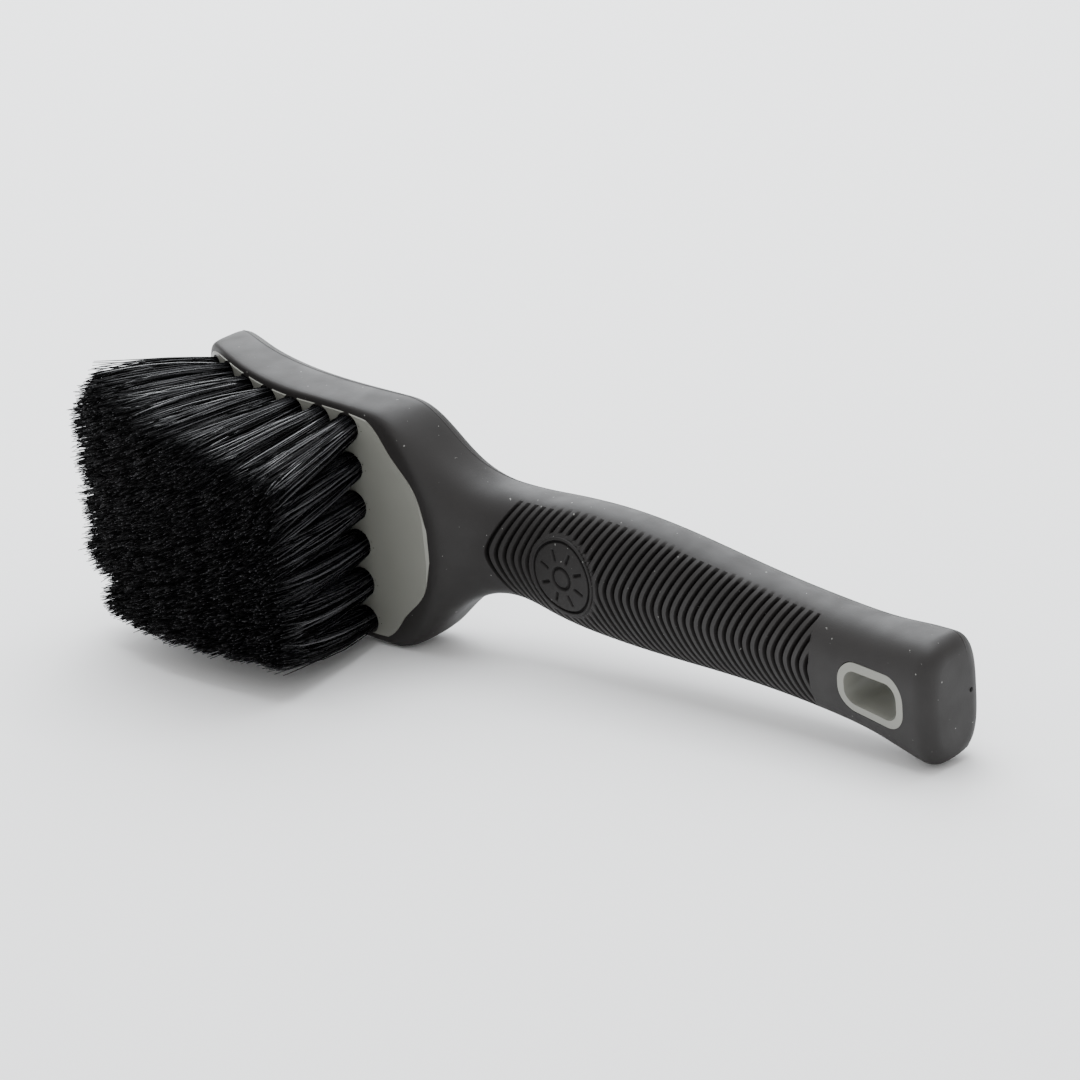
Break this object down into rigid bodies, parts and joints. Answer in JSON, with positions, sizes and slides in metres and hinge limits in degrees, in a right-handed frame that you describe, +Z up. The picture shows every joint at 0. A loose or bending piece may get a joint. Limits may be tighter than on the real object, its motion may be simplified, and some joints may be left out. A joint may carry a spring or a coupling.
{
  "type": "wheel brush",
  "caption": "Hand-held wheel scrubbing brush: wide swept-back head of stapled stiff bristle tufts on a soft-gripped handle with a hanging eye.",
  "frame": {"origin": "under the middle of the brush as it lies on its side, on the surface it lies on", "axes": "+X along the handle towards the hanging eye, -Y the way the bristles point, +Z up, across the head's width"},
  "size_m": [0.2298, 0.0678, 0.066],
  "materials": {
    "core": "satin moulded polypropylene",
    "overmould": "matt soft thermoplastic elastomer",
    "bristle": "black filaments with flagged tips",
    "staple": "plain flat wire"
  },
  "bodies": {
    "root": {"core": "core", "overmould": "overmould", "staples_row_1": "staple", "staples_row_2": "staple", "staples_row_3": "staple", "staples_row_4": "staple", "staples_row_5": "staple", "staples_row_6": "staple", "tuft_row_1_column_1": "bristle", "tuft_row_1_column_2": "bristle", "tuft_row_1_column_3": "bristle", "tuft_row_1_column_4": "bristle", "tuft_row_1_column_5": "bristle", "tuft_row_1_column_6": "bristle", "tuft_row_1_column_7": "bristle", "tuft_row_2_column_1": "bristle", "tuft_row_2_column_2": "bristle", "tuft_row_2_column_3": "bristle", "tuft_row_2_column_4": "bristle", "tuft_row_2_column_5": "bristle", "tuft_row_2_column_6": "bristle", "tuft_row_2_column_7": "bristle", "tuft_row_3_column_1": "bristle", "tuft_row_3_column_2": "bristle", "tuft_row_3_column_3": "bristle", "tuft_row_3_column_4": "bristle", "tuft_row_3_column_5": "bristle", "tuft_row_3_column_6": "bristle", "tuft_row_3_column_7": "bristle", "tuft_row_4_column_1": "bristle", "tuft_row_4_column_2": "bristle", "tuft_row_4_column_3": "bristle", "tuft_row_4_column_4": "bristle", "tuft_row_4_column_5": "bristle", "tuft_row_4_column_6": "bristle", "tuft_row_4_column_7": "bristle", "tuft_row_5_column_1": "bristle", "tuft_row_5_column_2": "bristle", "tuft_row_5_column_3": "bristle", "tuft_row_5_column_4": "bristle", "tuft_row_5_column_5": "bristle", "tuft_row_5_column_6": "bristle", "tuft_row_5_column_7": "bristle", "tuft_row_6_column_1": "bristle", "tuft_row_6_column_2": "bristle", "tuft_row_6_column_3": "bristle", "tuft_row_6_column_4": "bristle", "tuft_row_6_column_5": "bristle", "tuft_row_6_column_6": "bristle", "tuft_row_6_column_7": "bristle"}
  },
  "joints": []
}
